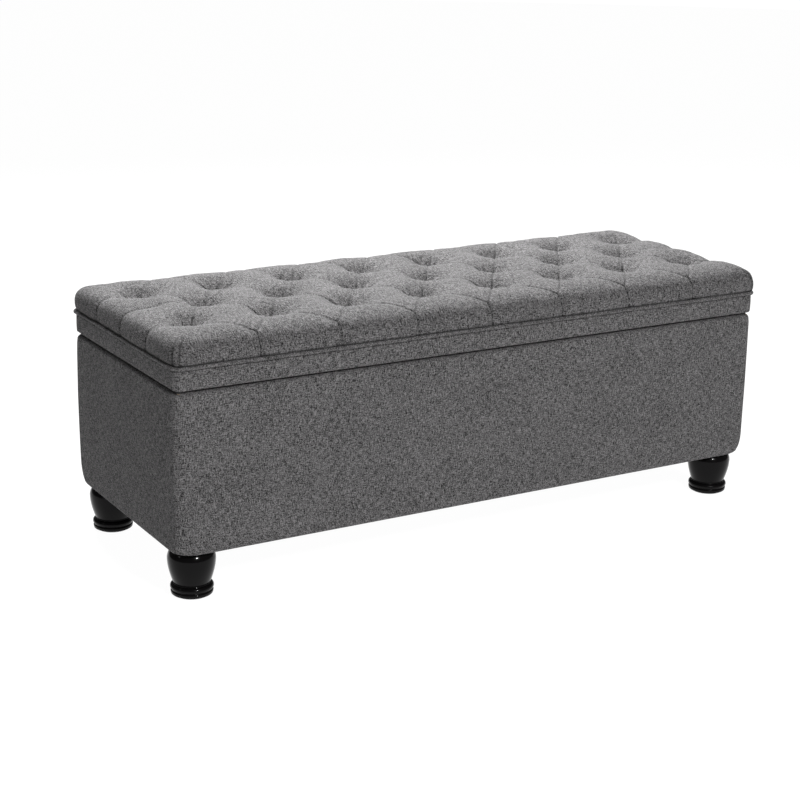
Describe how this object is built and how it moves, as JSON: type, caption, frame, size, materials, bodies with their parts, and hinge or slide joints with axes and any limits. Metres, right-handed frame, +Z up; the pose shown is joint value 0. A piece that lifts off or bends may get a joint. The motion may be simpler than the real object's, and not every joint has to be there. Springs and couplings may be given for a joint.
{
  "type": "storage bench",
  "caption": "Upholstered storage bench: cloth-covered case on turned feet under a hinged, deep-tufted seat lid held by folding stays.",
  "frame": {"origin": "on the floor, under the middle of the bench", "axes": "+X along the length towards the right-hand end, +Y towards the back where the hinges are, +Z up"},
  "size_m": [1.181, 0.45, 0.45],
  "materials": {
    "cover_cloth": "heathered charcoal linen weave",
    "lining_cloth": "plain black non-woven lining",
    "foam": "open-cell upholstery foam",
    "board": "raw fibreboard and plywood",
    "timber": "planed softwood",
    "lacquer": "turned wood in gloss black lacquer",
    "zinc_steel": "zinc-plated pressed steel",
    "screw_steel": "plated screws",
    "rubber": "black rubber pads",
    "cord": "waxed twine"
  },
  "bodies": {
    "case": {"front_panel": "board", "back_panel": "board", "left_end_panel": "board", "right_end_panel": "board", "floor_panel": "board", "front_floor_batten": "timber", "back_floor_batten": "timber", "end_floor_battens": "timber", "cross_floor_battens": "timber", "corner_blocks": "timber", "case_screws": "screw_steel", "foot_bolts": "screw_steel", "foot_tee_nuts": "screw_steel", "hinge_case_screws": "screw_steel", "stay_case_screws": "screw_steel", "case_padding": "foam", "case_cover": "cover_cloth", "case_lining": "lining_cloth", "dust_cover": "lining_cloth", "front_left_foot": "lacquer", "front_right_foot": "lacquer", "back_left_foot": "lacquer", "back_right_foot": "lacquer", "foot_glides": "rubber", "lid_bumpers": "rubber", "hinge_case_leaves": "zinc_steel", "hinge_pins": "zinc_steel", "left_stay_case_bracket": "zinc_steel", "right_stay_case_bracket": "zinc_steel", "stay_case_rivets": "zinc_steel"},
    "lid": {"lid_board": "board", "front_lid_rail": "timber", "back_lid_rail": "timber", "left_lid_rail": "timber", "right_lid_rail": "timber", "lid_cross_rails": "timber", "lid_band_padding": "foam", "lid_band_cover": "cover_cloth", "lid_lining": "lining_cloth", "piping": "cover_cloth", "seat_foam": "foam", "seat_cover": "cover_cloth", "tuft_cords": "cord", "tuft_anchors": "rubber", "hinge_lid_leaves": "zinc_steel", "hinge_lid_screws": "screw_steel", "left_stay_lid_bracket": "zinc_steel", "right_stay_lid_bracket": "zinc_steel", "stay_lid_rivets": "zinc_steel", "stay_lid_screws": "screw_steel"},
    "left_lower_arm": {"left_stay_lower_arm": "zinc_steel", "left_stay_elbow_rivet": "zinc_steel"},
    "right_lower_arm": {"right_stay_lower_arm": "zinc_steel", "right_stay_elbow_rivet": "zinc_steel"},
    "left_upper_arm": {"left_stay_upper_arm": "zinc_steel"},
    "right_upper_arm": {"right_stay_upper_arm": "zinc_steel"}
  },
  "joints": [
    {"name": "lid_hinge", "type": "hinge", "parent": "case", "child": "lid", "pos_m": [0, 0.2225, 0.357], "axis": [-1, 0, 0], "range_deg": [0, 86]},
    {"name": "left_stay_case_pivot", "type": "hinge", "parent": "case", "child": "left_lower_arm", "pos_m": [-0.55925, 0.1625, 0.262], "axis": [-1, 0, 0], "range_deg": [0, 86]},
    {"name": "left_stay_elbow", "type": "hinge", "parent": "left_lower_arm", "child": "left_upper_arm", "pos_m": [-0.55625, -0.0075, 0.248], "axis": [-1, 0, 0], "range_deg": [-86, 0]},
    {"name": "right_stay_case_pivot", "type": "hinge", "parent": "case", "child": "right_lower_arm", "pos_m": [0.55925, 0.1625, 0.262], "axis": [-1, 0, 0], "range_deg": [0, 86]},
    {"name": "right_stay_elbow", "type": "hinge", "parent": "right_lower_arm", "child": "right_upper_arm", "pos_m": [0.55625, -0.0075, 0.248], "axis": [-1, 0, 0], "range_deg": [-86, 0]}
  ],
  "couplings": [
    {"joint": "left_stay_case_pivot", "follows": "lid_hinge", "ratio": 1},
    {"joint": "left_stay_elbow", "follows": "lid_hinge", "ratio": -1},
    {"joint": "right_stay_case_pivot", "follows": "lid_hinge", "ratio": 1},
    {"joint": "right_stay_elbow", "follows": "lid_hinge", "ratio": -1}
  ]
}
